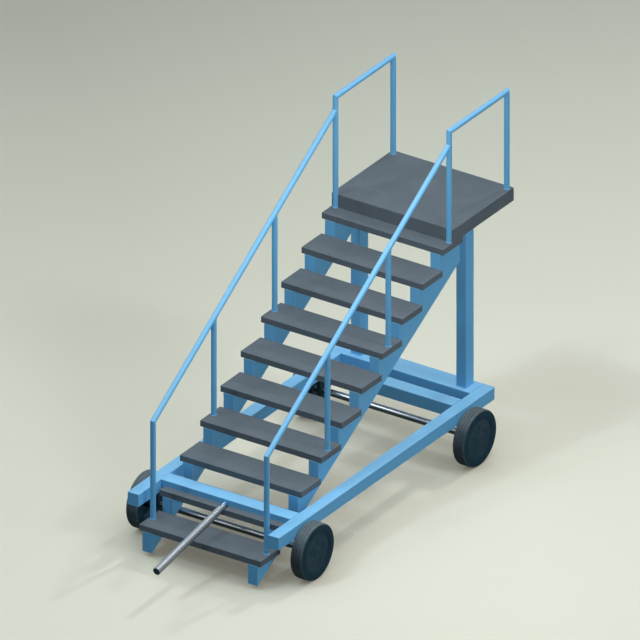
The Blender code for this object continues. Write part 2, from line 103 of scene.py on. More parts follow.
camera = bpy.data.objects.new("camera", bpy.data.cameras.new("camera"))
bpy.context.scene.collection.objects.link(camera)
camera.data.type = "ORTHO"
camera.data.ortho_scale = PICTURE_SIDE / PIXELS_PER_METRE
camera.data.clip_end = CAMERA_REACH
camera.location = target + view_back * CAMERA_DISTANCE
camera.rotation_euler = Matrix((view_right, view_up, view_back)).transposed().to_euler()
bpy.context.scene.camera = camera
print(f"the picture is {camera.data.ortho_scale:.3f} m wide")

# %% [markdown]
# Light
#
# The picture is lit like a studio table. Much of its light is a fill that reaches everywhere,
# from above and a little from the right, so those suns cast no shadow. The rest comes from lamps
# whose soft shadows can be read off the floor: one behind the stairs, one at the front left and
# one at the right. The shadows from the front left are crisp near the ground and very soft far
# from it, so that lamp is a small sun and a wide one. A sun of strength pi lights a white card to
# exactly white, so the shares below are parts of that, and what reaches the floor adds up to
# about one.
#
# The bars near the platform are brighter than those near the floor, so the last part of the fill
# is a lamp that hangs not far above the flight. The bright line along the axles is the mirror
# image of a wide soft light, so one more lamp, the glint, is there for shiny things only.

# %% Lamps and world
FULL_SUN = math.pi
WHITE = (1.00, 1.00, 1.00)
NEUTRAL = (1.00, 0.99, 0.97)
COOL = (0.90, 1.00, 1.06)
SKY = (0.80, 1.00, 1.16)
LAMPS = (
    # name, direction towards the lamp, share, width in degrees, colour, casts a shadow
    ("fill_above", (0.00, 0.00, 1.00), 0.29, 5, NEUTRAL, False),
    ("fill_right", (1.00, 0.00, 0.10), 0.11, 5, COOL, False),
    ("behind", (0.16, 1.00, 1.00), 0.17, 4, NEUTRAL, True),
    ("front_left", (-0.39, -0.57, 1.00), 0.09, 4, SKY, True),
    ("front_left_wide", (-0.39, -0.57, 1.00), 0.10, 18, SKY, True),
    ("right", (1.00, 0.05, 0.70), 0.15, 10, COOL, True),
)
GLINT_TOWARDS = (-0.49, -0.12, 0.86)
GLINT_SHARE = 0.60
GLINT_WIDTH = 66
NEAR_LAMP_PLACE = (1.05, -1.00, 5.00)
NEAR_LAMP_SHARE = 0.19
NEAR_LAMP_RADIUS = 0.5
WORLD_COLOUR = (0.68, 0.96, 1.18, 1)
WORLD_STRENGTH = 0.17
WORLD_SEEN_COLOUR = (0.53, 0.56, 0.52, 1)


def hang_lamp(name, kind, energy, has_shadow):
    """A lamp, and the object that holds it."""
    lamp = bpy.data.lights.new(name, kind)
    lamp.energy = energy
    lamp.use_shadow = has_shadow
    holder = bpy.data.objects.new(name, lamp)
    bpy.context.scene.collection.objects.link(holder)
    return lamp, holder


def hang_sun(name, towards, share, width, colour, has_shadow):
    """A sun in the direction given, with its width in degrees."""
    lamp, holder = hang_lamp(name, "SUN", FULL_SUN * share, has_shadow)
    lamp.angle = math.radians(width)
    lamp.color = colour
    holder.rotation_euler = Vector(towards).to_track_quat("Z", "Y").to_euler()
    return holder


for name, towards, share, width, colour, has_shadow in LAMPS:
    holder = hang_sun(name, towards, share, width, colour, has_shadow)
    # A fill without shadow would shine in bars that lie under other pieces
    holder.visible_glossy = has_shadow
glint = hang_sun("glint", GLINT_TOWARDS, GLINT_SHARE, GLINT_WIDTH, WHITE, False)
glint.visible_diffuse = False
# A point lamp spreads its energy over a sphere. At the origin it is to light as that share of a
# full sun would
near_energy = FULL_SUN * NEAR_LAMP_SHARE * 4 * math.pi * Vector(NEAR_LAMP_PLACE).length_squared
near_lamp, near_holder = hang_lamp("near", "POINT", near_energy, False)
near_lamp.shadow_soft_size = NEAR_LAMP_RADIUS
near_holder.location = NEAR_LAMP_PLACE


def add_node(tree, kind, inputs=None, **settings):
    """A new node. Settings are its own properties. An input is a value or a socket to link from."""
    node = tree.nodes.new(kind)
    for key, value in settings.items():
        setattr(node, key, value)
    for key, value in (inputs or {}).items():
        if isinstance(value, bpy.types.NodeSocket):
            tree.links.new(value, node.inputs[key])
        else:
            node.inputs[key].default_value = value
    return node


def seen_directly(tree):
    """1 for what the camera sees, also in a mirror or through glass, and 0 for bounced light."""
    path = add_node(tree, "ShaderNodeLightPath")
    total = path.outputs["Is Camera Ray"]
    for ray in ("Is Glossy Ray", "Is Transmission Ray"):
        total = add_node(
            tree, "ShaderNodeMath", {0: total, 1: path.outputs[ray]}, operation="MAXIMUM"
        ).outputs["Value"]
    return total


world = bpy.data.worlds.new("studio")
world.use_nodes = True
bpy.context.scene.world = world
tree = world.node_tree
ambient = tree.nodes["Background"]
ambient.inputs["Color"].default_value = WORLD_COLOUR
ambient.inputs["Strength"].default_value = WORLD_STRENGTH
shown = add_node(tree, "ShaderNodeBackground", {"Color": WORLD_SEEN_COLOUR})
either = add_node(tree, "ShaderNodeMixShader", {
    "Fac": seen_directly(tree),
    1: ambient.outputs["Background"],
    2: shown.outputs["Background"],
})
tree.links.new(either.outputs["Shader"], tree.nodes["World Output"].inputs["Surface"])
bpy.context.scene.view_settings.view_transform = "Standard"
shares = [share for _, _, share, _, _, _ in LAMPS]
print(f"{len(LAMPS)} suns with {sum(shares):.2f} of a full one, a glint and a near lamp")

# %% [markdown]
# The floor
#
# A plain pale sheet, which darkens slowly towards the far left: painted shade, as the light falls
# off across the floor. The fade is a colour ramp along one direction of the floor, times a weak
# grey ramp across it. The fill casts no shadow, so the soft dark that gathers under the machine is
# given to the floor instead: a grey that grows with how much of the sky is covered nearby. What
# the camera sees is brighter than what bounces back up on to the machine, so that the sides keep
# their depth. Seen from below, the sheet lets everything through.

# %% Floor
FLOOR_REACH = 60
FLOOR_CUTS = 4
FADE_TURN = math.radians(48)
FADE_START, FADE_LENGTH = -9.28, 11.44
CROSS_START, CROSS_LENGTH = -2.76, 6.56
# The fade and the cross ramp are painted shade: light falling off across the floor
FADE_STOPS = (
    # share of the fade, linear colour
    (0.00, (0.563, 0.539, 0.443)),
    (0.20, (0.699, 0.666, 0.545)),
    (0.40, (0.794, 0.760, 0.612)),
    (0.60, (0.864, 0.826, 0.674)),
    (0.80, (0.864, 0.826, 0.672)),
    (1.00, (0.880, 0.839, 0.692)),
)
CROSS_STOPS = (
    (0.00, (0.890,) * 3),
    (0.30, (0.885,) * 3),
    (0.70, (0.985,) * 3),
    (1.00, (1.000,) * 3),
)
COVER_REACH = 1.5
COVER_SAMPLES = 16
COVER_STOPS = (
    # share of the sky that is open nearby, grey
    (0.00, (0.20,) * 3),
    (0.45, (0.62,) * 3),
    (0.75, (0.93,) * 3),
    (0.92, (1.00,) * 3),
)
FLOOR_BOUNCE_SHARE = 0.12


def new_material(name):
    """A node material, its tree and its shader."""
    material = bpy.data.materials.new(name)
    material.use_nodes = True
    return material, material.node_tree, material.node_tree.nodes["Principled BSDF"]


def colour_ramp(tree, value, stops):
    """The value's colour on a ramp through the stops."""
    node = add_node(tree, "ShaderNodeValToRGB", {"Fac": value})
    node.color_ramp.elements.remove(node.color_ramp.elements[1])
    for index, (share, colour) in enumerate(stops):
        elements = node.color_ramp.elements
        stop = elements[0] if index == 0 else elements.new(share)
        stop.position = share
        stop.color = (*colour, 1)
    return node.outputs["Color"]


def dim(tree, colour, share):
    """The colour times a share, which is a socket or a grey."""
    node = add_node(tree, "ShaderNodeMix", data_type="RGBA", blend_type="MULTIPLY")
    node.inputs["Factor"].default_value = 1
    tree.links.new(colour, node.inputs["A"])
    if isinstance(share, bpy.types.NodeSocket):
        tree.links.new(share, node.inputs["B"])
    else:
        node.inputs["B"].default_value = (share, share, share, 1)
    return node.outputs["Result"]


bpy.ops.object.select_all(action="DESELECT")
bpy.ops.mesh.primitive_grid_add(
    x_subdivisions=FLOOR_CUTS, y_subdivisions=FLOOR_CUTS, size=2 * FLOOR_REACH)
floor = bpy.context.active_object
floor.name = "floor"

material, tree, shader = new_material("pale floor")
tree.nodes.remove(shader)
place = add_node(tree, "ShaderNodeTexCoord")
turned = add_node(tree, "ShaderNodeMapping", {
    "Vector": place.outputs["Object"],
    "Location": (-FADE_START, -CROSS_START, 0),
    "Rotation": (0, 0, FADE_TURN),
})
scaled = add_node(tree, "ShaderNodeMapping", {
    "Vector": turned.outputs["Vector"],
    "Scale": (1 / FADE_LENGTH, 1 / CROSS_LENGTH, 1),
})
parts = add_node(tree, "ShaderNodeSeparateXYZ", {"Vector": scaled.outputs["Vector"]})
along = colour_ramp(tree, parts.outputs["X"], FADE_STOPS)
pale = dim(tree, along, colour_ramp(tree, parts.outputs["Y"], CROSS_STOPS))
open_sky = add_node(
    tree, "ShaderNodeAmbientOcclusion", {"Distance": COVER_REACH}, samples=COVER_SAMPLES)
pale = dim(tree, pale, colour_ramp(tree, open_sky.outputs["AO"], COVER_STOPS))
either = add_node(tree, "ShaderNodeMix", data_type="RGBA")
tree.links.new(seen_directly(tree), either.inputs["Factor"])
tree.links.new(dim(tree, pale, FLOOR_BOUNCE_SHARE), either.inputs["A"])
tree.links.new(pale, either.inputs["B"])
surface = add_node(tree, "ShaderNodeBsdfDiffuse", {"Color": either.outputs["Result"]})
below = add_node(tree, "ShaderNodeNewGeometry")
clear = add_node(tree, "ShaderNodeBsdfTransparent")
cover = add_node(tree, "ShaderNodeMixShader", {
    "Fac": below.outputs["Backfacing"],
    1: surface.outputs["BSDF"],
    2: clear.outputs["BSDF"],
})
tree.links.new(cover.outputs["Shader"], tree.nodes["Material Output"].inputs["Surface"])
floor.data.materials.append(material)
print(f"floor: {2 * FLOOR_REACH} m square")

# %% [markdown]
# Effects that the finishes share
#
# Four node groups. The weathered coat mixes a colour with its faded self in soft patches, and
# more with that second colour on what faces up: painted light where it is lighter, painted shade
# where it is darker. It lays fine dust there too. The fine skin is the small bump of sprayed
# paint, grit or rubber. The rubbed edge lets a harder colour show through in short runs. The drawn
# lines are the long scratches of bright bar, stretched along it, with a mask of its underside,
# which is painted darker: a painted dark reflection. Every pattern reads the object's own
# coordinates, so it stays put on what moves.

# %% Node groups
COLOUR = "NodeSocketColor"
NUMBER = "NodeSocketFloat"
VECTOR = "NodeSocketVector"
NOISE_ROUGHNESS = 0.6
# Each pair below says from where to where a value is eased from 0 to 1: a noise, or for UPWARD and
# the underside's edge the height of a face's normal
UPWARD = (0.35, 0.85)
PATCH_DETAIL = 5
PATCH_EDGE = (0.36, 0.64)
PATCH_FADE = 0.30
# On what faces up the second colour is painted light where lighter, painted shade where darker
TOP_SHADING = 0.70
SPECK_DETAIL = 6
SPECK_EDGE = (0.48, 0.78)
SPECKS_PER_PATCH = 14
TOP_DUST = 0.06
DUST = 0.06
SKIN_DETAIL = 3
RUB_SCALE = 38
RUB_DETAIL = 6
RUB_EDGE = (0.50, 0.66)
LINE_DETAIL = 4
LINE_EDGE = (0.35, 0.65)
# A bright bar's underside is painted darker, a painted dark reflection; these set its edge
UNDERSIDE_WAVER = 0.12
UNDERSIDE_EDGE = (0.57, 0.39)


def new_group(name, inputs, outputs):
    """An empty shader group, the sockets it is given, and the node that takes its results."""
    group = bpy.data.node_groups.new(name, "ShaderNodeTree")
    for label, kind in inputs:
        group.interface.new_socket(label, in_out="INPUT", socket_type=kind)
    for label, kind in outputs:
        group.interface.new_socket(label, in_out="OUTPUT", socket_type=kind)
    return group, add_node(group, "NodeGroupInput").outputs, add_node(group, "NodeGroupOutput")


def noise(tree, place, scale, detail):
    """A soft noise from 0 to 1, mostly near its middle."""
    node = add_node(tree, "ShaderNodeTexNoise", {
        "Vector": place, "Scale": scale, "Detail": detail, "Roughness": NOISE_ROUGHNESS,
    })
    return node.outputs["Fac"]


def spread(tree, value, low, high, new_low=0.0, new_high=1.0):
    """The value's stretch from low to high, eased into a new range and held at its ends."""
    limits = {"From Min": low, "From Max": high, "To Min": new_low, "To Max": new_high}
    node = add_node(
        tree, "ShaderNodeMapRange", {"Value": value, **limits}, interpolation_type="SMOOTHSTEP")
    return node.outputs["Result"]


def maths(tree, operation, *values):
    node = add_node(tree, "ShaderNodeMath", dict(enumerate(values)), operation=operation)
    return node.outputs["Value"]


def mix(tree, factor, first, second):
    """The second colour over the first. Each is a socket or a plain colour."""
    node = add_node(tree, "ShaderNodeMix", data_type="RGBA")
    tree.links.new(factor, node.inputs["Factor"])
    for key, value in (("A", first), ("B", second)):
        if isinstance(value, bpy.types.NodeSocket):
            tree.links.new(value, node.inputs[key])
        else:
            node.inputs[key].default_value = value
    return node.outputs["Result"]


def build_weathered_and_top_shaded_coat():
    group, given, result = new_group(
        "weathered and top shaded coat",
        (
            ("Base", COLOUR), ("Faded", COLOUR), ("Dust", COLOUR),
            ("Patch Scale", NUMBER), ("Top Share", NUMBER),
        ),
        (("Color", COLOUR), ("Patches", NUMBER)),
    )
    place = add_node(group, "ShaderNodeTexCoord")
    spot = place.outputs["Object"]
    facing = add_node(group, "ShaderNodeSeparateXYZ", {"Vector": place.outputs["Normal"]})
    upward = spread(group, facing.outputs["Z"], *UPWARD)
    upward = maths(group, "MULTIPLY", upward, given["Top Share"])
    patches = noise(group, spot, given["Patch Scale"], PATCH_DETAIL)
    patches = spread(group, patches, *PATCH_EDGE)
    # Tops take the second colour: painted light where it is lighter, painted shade where darker
    top_shading = maths(group, "MULTIPLY", upward, TOP_SHADING)
    fading_and_top_shading = maths(group, "MULTIPLY_ADD", patches, PATCH_FADE, top_shading)
    faded = mix(group, fading_and_top_shading, given["Base"], given["Faded"])
    finer = maths(group, "MULTIPLY", given["Patch Scale"], SPECKS_PER_PATCH)
    specks = spread(group, noise(group, spot, finer, SPECK_DETAIL), *SPECK_EDGE)
    dust = maths(group, "MULTIPLY_ADD", upward, TOP_DUST, DUST)
    settled = maths(group, "MULTIPLY", specks, dust)
    group.links.new(mix(group, settled, faded, given["Dust"]), result.inputs["Color"])
    group.links.new(patches, result.inputs["Patches"])
    return group


def build_fine_skin():
    group, given, result = new_group(
        "fine skin", (("Grain", NUMBER), ("Depth", NUMBER)), (("Normal", VECTOR),))
    place = add_node(group, "ShaderNodeTexCoord")
    bump = add_node(group, "ShaderNodeBump", {
        "Distance": given["Depth"],
        "Height": noise(group, place.outputs["Object"], given["Grain"], SKIN_DETAIL),
    })
    group.links.new(bump.outputs["Normal"], result.inputs["Normal"])
    return group


def build_rubbed_edge():
    group, given, result = new_group(
        "rubbed edge", (("Coat", COLOUR), ("Bare", COLOUR), ("Worn Share", NUMBER)),
        (("Color", COLOUR), ("Bareness", NUMBER)),
    )
    place = add_node(group, "ShaderNodeTexCoord")
    runs = noise(group, place.outputs["Object"], RUB_SCALE, RUB_DETAIL)
    bareness = maths(group, "MULTIPLY", spread(group, runs, *RUB_EDGE), given["Worn Share"])
    group.links.new(mix(group, bareness, given["Coat"], given["Bare"]), result.inputs["Color"])
    group.links.new(bareness, result.inputs["Bareness"])
    return group


def build_drawn_lines():
    group, given, result = new_group(
        "drawn lines", (("Turn", VECTOR), ("Stretch", VECTOR), ("Depth", NUMBER)),
        (("Lines", NUMBER), ("Underside", NUMBER), ("Normal", VECTOR)),
    )
    place = add_node(group, "ShaderNodeTexCoord")
    along = add_node(group, "ShaderNodeMapping", {
        "Vector": place.outputs["Object"], "Rotation": given["Turn"], "Scale": given["Stretch"],
    })
    lines = noise(group, along.outputs["Vector"], 1.0, LINE_DETAIL)
    bump = add_node(group, "ShaderNodeBump", {"Distance": given["Depth"], "Height": lines})
    facing = add_node(group, "ShaderNodeSeparateXYZ", {"Vector": place.outputs["Normal"]})
    # The underside mask marks where the bar is painted darker: a painted dark reflection
    wavering = maths(group, "MULTIPLY_ADD", lines, UNDERSIDE_WAVER, facing.outputs["Z"])
    group.links.new(spread(group, lines, *LINE_EDGE), result.inputs["Lines"])
    group.links.new(spread(group, wavering, *UNDERSIDE_EDGE), result.inputs["Underside"])
    group.links.new(bump.outputs["Normal"], result.inputs["Normal"])
    return group


WEATHERED_AND_TOP_SHADED_COAT = build_weathered_and_top_shaded_coat()
FINE_SKIN = build_fine_skin()
RUBBED_EDGE = build_rubbed_edge()
DRAWN_LINES = build_drawn_lines()
print("groups:", ", ".join(group.name for group in bpy.data.node_groups))

# %% [markdown]
# The finishes
#
# Sky-blue and slate paint, bright bar, near-black castings and rubber, all matt and only lightly
# worn, as the picture shows them. Each paint has a second material for its rounded edges, where
# it is rubbed. The tyre has one for its wall and a greyer, dustier one for the tread. On top the
# blue paint and the tread are painted lighter, which is painted light, and the slate darker,
# which is painted shade. The undersides of the bars are painted darker: a painted dark
# reflection.

# %% Materials
Paint = namedtuple("Paint", "base faded dust patches top_share roughness specular grain depth")
PAINTS = {
    # colours of the coat, of its faded self, which is also painted light on tops where it is
    # lighter and painted shade there where it is darker, and of the dust on it; patches a metre;
    # share of that colour on tops; roughness; specular; grains a metre and how deep they are
    # Paler and greyer on top: painted light, standing in for the sheen there
    "blue_paint": Paint(
        (0.171, 0.520, 0.850), (0.238, 0.540, 0.812), (0.420, 0.560, 0.620),
        patches=2.2, top_share=1.0, roughness=0.55, specular=0.22, grain=420, depth=0.00012),
    # Darker on top: painted shade on the tops of the treads and the platform
    "slate_paint": Paint(
        (0.140, 0.164, 0.186), (0.106, 0.130, 0.149), (0.240, 0.260, 0.270),
        patches=3.0, top_share=1.0, roughness=0.70, specular=0.20, grain=520, depth=0.00018),
    "dark_paint": Paint(
        (0.011, 0.040, 0.063), (0.015, 0.048, 0.073), (0.060, 0.085, 0.100),
        patches=6.0, top_share=0.0, roughness=0.60, specular=0.15, grain=300, depth=0.00020),
    "tyre": Paint(
        (0.011, 0.039, 0.060), (0.016, 0.047, 0.068), (0.060, 0.085, 0.100),
        patches=7.0, top_share=0.0, roughness=0.80, specular=0.15, grain=260, depth=0.00025),
    # Much lighter on top: painted light on the tread, which stays dark at its sides
    "tyre_tread": Paint(
        (0.055, 0.080, 0.092), (0.150, 0.180, 0.195), (0.210, 0.225, 0.225),
        patches=9.0, top_share=1.0, roughness=0.92, specular=0.20, grain=260, depth=0.00040),
}
ROUGHNESS_SWING = 0.06
Rubbed = namedtuple("Rubbed", "bare worn metallic roughness")
RUBBED = {
    # bare colour, share of the edge that is worn, how metallic the bare part is, roughness
    "blue_paint": Rubbed((0.330, 0.540, 0.740), worn=0.55, metallic=0.0, roughness=0.5),
    "slate_paint": Rubbed((0.230, 0.260, 0.280), worn=0.60, metallic=0.3, roughness=0.5),
    "dark_paint": Rubbed((0.060, 0.075, 0.085), worn=0.50, metallic=0.3, roughness=0.5),
}
RUBBED_ROUGHNESS_SWING = 0.10
LINE_DEPTH = 0.00003
UNDERSIDE_ROUGHNESS = 0.15
Steel = namedtuple("Steel", "turn stretch roughness bright dull greasy")
STEEL_BARS = {
    # turn and stretch, so that the lines run along the bar, a few a metre that way and many
    # across it; the roughness of its bright and dull lines, as the axles are ground and the tow
    # bar is only drawn; the colours of the bright lines, the dull lines and the underside, which
    # is painted darker as a painted dark reflection
    "axle": Steel(
        turn=(0, 0, 0), stretch=(5, 700, 700), roughness=(0.20, 0.28),
        bright=(0.520, 0.570, 0.640, 1), dull=(0.460, 0.505, 0.560, 1),
        greasy=(0.040, 0.058, 0.063, 1)),
    "tow": Steel(
        turn=(math.radians(10), 0, 0), stretch=(700, 5, 700), roughness=(0.30, 0.40),
        bright=(0.390, 0.430, 0.480, 1), dull=(0.310, 0.345, 0.390, 1),
        greasy=(0.270, 0.300, 0.330, 1)),
}


def use_group(tree, group, **inputs):
    """The outputs of a group's node. An input's name has underscores for its spaces."""
    node = add_node(tree, "ShaderNodeGroup", node_tree=group)
    for key, value in inputs.items():
        socket = node.inputs[key.replace("_", " ")]
        if isinstance(value, bpy.types.NodeSocket):
            tree.links.new(value, socket)
        else:
            socket.default_value = value
    return node.outputs


def finish_paint(tree, shader, paint, colour, roughness):
    """Joins up what a coat and its rubbed edge have in common."""
    skin = use_group(tree, FINE_SKIN, Grain=paint.grain, Depth=paint.depth)
    tree.links.new(colour, shader.inputs["Base Color"])
    tree.links.new(roughness, shader.inputs["Roughness"])
    tree.links.new(skin["Normal"], shader.inputs["Normal"])
    shader.inputs["Specular IOR Level"].default_value = paint.specular


def paint_material(name):
    paint = PAINTS[name]
    material, tree, shader = new_material(name)
    coat = use_group(
        tree, WEATHERED_AND_TOP_SHADED_COAT, Base=(*paint.base, 1), Faded=(*paint.faded, 1),
        Dust=(*paint.dust, 1), Patch_Scale=paint.patches, Top_Share=paint.top_share)
    low, high = paint.roughness - ROUGHNESS_SWING, paint.roughness + ROUGHNESS_SWING
    roughness = spread(tree, coat["Patches"], 0.0, 1.0, low, high)
    finish_paint(tree, shader, paint, coat["Color"], roughness)
    return material


def edge_material(name):
    paint = PAINTS[name]
    rubbed = RUBBED[name]
    material, tree, shader = new_material(name + " edge")
    # The edge's coat is the second colour, with the painted light and shade of the tops
    rub = use_group(
        tree, RUBBED_EDGE, Coat=(*paint.faded, 1), Bare=(*rubbed.bare, 1),
        Worn_Share=rubbed.worn)
    low = rubbed.roughness - RUBBED_ROUGHNESS_SWING
    high = rubbed.roughness + RUBBED_ROUGHNESS_SWING
    roughness = spread(tree, rub["Bareness"], 0.0, 1.0, high, low)
    finish_paint(tree, shader, paint, rub["Color"], roughness)
    bareness = spread(tree, rub["Bareness"], 0.0, 1.0, 0.0, rubbed.metallic)
    tree.links.new(bareness, shader.inputs["Metallic"])
    return material


def steel_material(name):
    steel = STEEL_BARS[name]
    material, tree, shader = new_material("bright_steel " + name)
    drawn = use_group(
        tree, DRAWN_LINES, Turn=steel.turn, Stretch=steel.stretch, Depth=LINE_DEPTH)
    metal = mix(tree, drawn["Lines"], steel.bright, steel.dull)
    # The underside takes its darker colour: a painted dark reflection
    metal = mix(tree, drawn["Underside"], metal, steel.greasy)
    rough = spread(tree, drawn["Lines"], 0.0, 1.0, *steel.roughness)
    rough = maths(tree, "MULTIPLY_ADD", drawn["Underside"], UNDERSIDE_ROUGHNESS, rough)
    tree.links.new(metal, shader.inputs["Base Color"])
    tree.links.new(rough, shader.inputs["Roughness"])
    tree.links.new(drawn["Normal"], shader.inputs["Normal"])
    shader.inputs["Metallic"].default_value = 1
    return material


paints = {name: paint_material(name) for name in PAINTS}
edges = {name: edge_material(name) for name in RUBBED}
steels = {name: steel_material(name) for name in STEEL_BARS}
print(f"{len(paints) + len(edges) + len(steels)} materials")

# %% [markdown]
# Finished copies
#
# Each imported piece is drawn as loose triangles with knife-sharp edges. A copy of it is merged,
# its flat faces are joined up, and its edges are rounded by what the real piece has: a rolled
# corner on box section, a broken edge on plate, a small chamfer on castings. The rounding takes
# the rubbed-edge material. Large faces keep flat shading by weighting their normals, and round
# bars are shaded smooth. The tow bar is a tube whose flat end takes the dark paint: painted shade
# on an end that faces forward and a little down.

# %% Finished copies of the steelwork
MERGE_DISTANCE = 0.00001
FLAT_ANGLE = math.radians(0.5)
SMOOTH_ANGLE = math.radians(48)
EDGE_ANGLE = math.radians(40)
EDGE_STEPS = 3
# The tow bar's end is painted dark, as painted shade; these find its faces
END_FACE_DEPTH = 0.006
END_FACE_FACING = 0.5
ROUNDING = {
    # start of the node's name: radius of its edges; the first that fits counts
    "side_rail": 0.006, "front_cross": 0.006, "rear_": 0.006, "support_post": 0.005,
    "stringer": 0.002, "tread": 0.002, "platform_rail": 0, "platform": 0.003,
    "axle_hanger": 0.002, "axle_": 0.0015, "wheel": 0.0015, "tow_lug": 0.0015,
}


def select_only(*objects):
    bpy.ops.object.select_all(action="DESELECT")
    for item in objects:
        item.select_set(True)
    bpy.context.view_layer.objects.active = objects[0]


def rounding_of(node_name):
    """The radius of the node's edges. It is 0 for the handrails and where no start fits."""
    fitting = (radius for start, radius in ROUNDING.items() if node_name.startswith(start))
    return next(fitting, 0)


def finishes_of(node_name, slot_name):
    """The finishes of the node's faces and rounded edges, or of the tow bar's end: painted shade.
    """
    if node_name == "tow_bar":
        return steels["tow"], paints["dark_paint"]
    if slot_name == "bright_steel":
        return steels["axle"], steels["axle"]
    return paints[slot_name], edges[slot_name]


def apply_modifier(piece, kind, **settings):
    modifier = piece.modifiers.new(kind.lower(), kind)
    for key, value in settings.items():
        setattr(modifier, key, value)
    bpy.ops.object.modifier_apply(modifier=modifier.name)


def finished_copy(node_name, slot_name):
    node = frame["nodes"][node_name]
    piece = bpy.data.objects.new("finished_" + node_name, node.data.copy())
    bpy.context.scene.collection.objects.link(piece)
    piece.data.materials.clear()
    for finish in finishes_of(node_name, slot_name):
        piece.data.materials.append(finish)
    select_only(piece)
    bpy.ops.object.mode_set(mode="EDIT")
    bpy.ops.mesh.select_all(action="SELECT")
    bpy.ops.mesh.remove_doubles(threshold=MERGE_DISTANCE)
    bpy.ops.mesh.dissolve_limited(angle_limit=FLAT_ANGLE)
    bpy.ops.object.mode_set(mode="OBJECT")
    radius = rounding_of(node_name)
    if radius:
        apply_modifier(
            piece, "BEVEL", width=radius, segments=EDGE_STEPS, limit_method="ANGLE",
            angle_limit=EDGE_ANGLE, material=1)
    bpy.ops.object.shade_smooth_by_angle(angle=SMOOTH_ANGLE)
    apply_modifier(piece, "WEIGHTED_NORMAL", keep_sharp=True)
    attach(piece, node["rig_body"])
    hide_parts(node_name)
    return piece


def paint_end_shade(piece):
    """Gives the flat end of the bar, at its lowest Y, the second finish: painted shade."""
    tip = min(piece.data.polygons, key=lambda face: face.center.y)
    for face in piece.data.polygons:
        behind_tip = (tip.center - face.center).dot(tip.normal)
        if behind_tip < END_FACE_DEPTH and face.normal.dot(tip.normal) > END_FACE_FACING:
            face.material_index = 1


slots = {entry["node"]: entry["material_slot"] for entry in frame["record"]["subparts"]}
finished = {name: finished_copy(name, slot) for name, slot in slots.items() if slot != "tyre"}
# The tow bar's end is painted dark: painted shade
paint_end_shade(finished["tow_bar"])
face_total = sum(len(piece.data.polygons) for piece in finished.values())
print(f"{len(finished)} finished copies, {face_total} faces")

# %% [markdown]
# Tyres
#
# A solid tyre is its section, spun round the axle. The section starts as a plane. Bisecting it
# marks three grooves and the edge of the rim flange, whose points are then moved in, and the
# shoulders are bevelled round. After the spin, every fourth field of the outer rib is pressed in
# a little on both sides, as tread blocks are. One tyre is modelled and copied to the other three
# places.

# %% Tyres
TYRE_STEPS = 96
GROOVE_SPACING = 0.027
GROOVE_HALF_WIDTH = 0.0045
GROOVE_SLOPE = 0.0012
GROOVE_DEPTH = 0.0055
SHOULDER_RADIUS = 0.016
SHOULDER_STEPS = 5
BEAD_CHAMFER = 0.006
FLANGE_RISE = 0.020
FLANGE_RECESS = 0.0025
NOTCH_EVERY = 4
NOTCH_DEPTH = 0.003
NOTCH_FROM_MIDDLE = 0.043
NOTCH_BELOW_TREAD = 0.007
TREAD_DEPTH = 0.010
TOLERANCE = 0.0002
SMALL_SMOOTH_ANGLE = math.radians(30)


def is_near(value, goal):
    return abs(value - goal) < TOLERANCE


def select_points(piece, test):
    """Selects the points that pass, in edit mode."""
    mesh = bmesh.from_edit_mesh(piece.data)
    bpy.ops.mesh.select_all(action="DESELECT")
    for point in mesh.verts:
        point.select = test(point.co)
    mesh.select_flush_mode()
    bmesh.update_edit_mesh(piece.data)


def bisect_all(place, across):
    bpy.ops.mesh.select_all(action="SELECT")
    bpy.ops.mesh.bisect(plane_co=place, plane_no=across)


